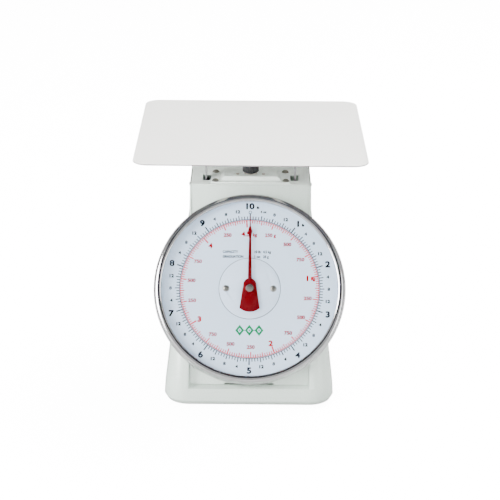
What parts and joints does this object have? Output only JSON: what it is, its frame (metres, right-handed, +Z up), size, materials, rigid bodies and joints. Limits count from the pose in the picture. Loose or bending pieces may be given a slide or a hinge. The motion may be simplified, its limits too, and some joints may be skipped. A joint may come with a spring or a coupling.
{
  "type": "mechanical dial platform scale",
  "caption": "Wedge-shaped mechanical weighing scale with a flat square platform above a round dial that leans back, a zero knob on top and a spring, check-link and rack movement inside.",
  "frame": {"origin": "on the table, under the middle of the object's bounding box", "axes": "+X to the right of a person reading the dial, -Y towards that person, +Z up"},
  "size_m": [0.25, 0.2794, 0.27],
  "materials": {
    "painted_steel": "off-white baked enamel, slightly textured",
    "platform_steel": "off-white enamel, smooth",
    "zinc_steel": "zinc plated",
    "bare_steel": "cold-rolled, lightly oiled",
    "spring_steel": "drawn wire",
    "brass": "machined",
    "bezel_metal": "polished",
    "dial_enamel": "matt print ground",
    "pointer_red": "dark red enamel",
    "knob_black": "moulded, knurled",
    "lens_clear": "clear",
    "rubber_black": "moulded",
    "nylon_white": "natural nylon"
  },
  "bodies": {
    "housing": {"housing_shell": "painted_steel", "front_panel": "painted_steel", "rear_panel": "painted_steel", "rear_panel_screws": "zinc_steel", "top_plate": "painted_steel", "top_plate_screws": "zinc_steel", "mechanism_bridge": "painted_steel", "bridge_screws": "zinc_steel", "bridge_nuts": "zinc_steel", "bridge_rivets": "zinc_steel", "base_plate": "painted_steel", "base_screws": "zinc_steel", "rubber_feet": "rubber_black", "feet_screws": "zinc_steel", "chassis": "bare_steel", "link_pivot_rods": "bare_steel", "pivot_clips": "zinc_steel", "knob_washer": "zinc_steel", "dial_pan": "painted_steel", "dial_plate": "dial_enamel", "centre_disc": "dial_enamel", "dial_screws": "zinc_steel", "dial_standoffs": "bare_steel", "bezel_ring": "bezel_metal", "lens": "lens_clear", "lens_gasket": "rubber_black", "movement_front_plate": "brass", "movement_rear_plate": "brass", "movement_pillars": "brass", "movement_screws": "zinc_steel", "shaft_bushes": "brass", "rack_guide_pin": "bare_steel"},
    "load_carrier": {"platform_support": "zinc_steel", "support_grommets": "rubber_black", "load_legs": "zinc_steel", "leg_screws": "zinc_steel", "crossbar": "bare_steel", "crossbar_rivets": "zinc_steel", "leg_link_pins": "bare_steel", "rack_arm": "bare_steel", "rack": "brass", "rack_screws": "zinc_steel"},
    "platform": {"platform": "platform_steel", "platform_pegs": "bare_steel"},
    "pointer": {"pointer_shaft": "bare_steel", "pinion": "brass", "pointer": "pointer_red", "pointer_screw": "zinc_steel"},
    "upper_link": {"upper_check_link": "bare_steel"},
    "lower_link": {"lower_check_link": "bare_steel"},
    "spring_hanger": {"spring_hanger": "bare_steel", "zero_screw": "bare_steel", "left_spring": "spring_steel", "right_spring": "spring_steel"},
    "zero_knob": {"zero_knob": "knob_black"},
    "guide_roller": {"rack_guide_roller": "nylon_white"}
  },
  "joints": [
    {"name": "load_slide", "type": "slide", "parent": "housing", "child": "load_carrier", "axis": [0, 0, -1], "range_m": [0, 0.02], "stiffness_N_per_m": 2224, "springref_m": -0.006, "deforming": ["left_spring", "right_spring"]},
    {"name": "pointer_spin", "type": "hinge", "parent": "housing", "child": "pointer", "pos_m": [0, -0.07221, 0.11325], "axis": [0, 0.8572, -0.515], "range_deg": [0, 361]},
    {"name": "upper_link_swing", "type": "hinge", "parent": "housing", "child": "upper_link", "pos_m": [0, 0.03623, 0.188], "axis": [1, 0, 0], "range_deg": [0, 42.28]},
    {"name": "lower_link_swing", "type": "hinge", "parent": "housing", "child": "lower_link", "pos_m": [0, 0.03623, 0.086], "axis": [1, 0, 0], "range_deg": [0, 42.28]},
    {"name": "platform_lift", "type": "slide", "parent": "load_carrier", "child": "platform", "axis": [0, 0, 1], "range_m": [0, 0.025]},
    {"name": "knob_turn", "type": "hinge", "parent": "housing", "child": "zero_knob", "pos_m": [0, 0.01473, 0.22145], "axis": [0, 0, 1], "range_deg": [-541, 541]},
    {"name": "hanger_slide", "type": "slide", "parent": "housing", "child": "spring_hanger", "axis": [0, 0, 1], "range_m": [-0.0015, 0.0015]},
    {"name": "roller_spin", "type": "hinge", "parent": "housing", "child": "guide_roller", "pos_m": [0.0124, -0.05507, 0.10295], "axis": [0, -0.8572, 0.515], "continuous": true}
  ],
  "couplings": [
    {"joint": "pointer_spin", "follows": "load_slide", "rad_per_m": 314.16},
    {"joint": "upper_link_swing", "follows": "load_slide", "rad_per_m": 36.717},
    {"joint": "lower_link_swing", "follows": "load_slide", "rad_per_m": 36.717},
    {"joint": "knob_turn", "follows": "hanger_slide", "rad_per_m": 6283.2}
  ]
}
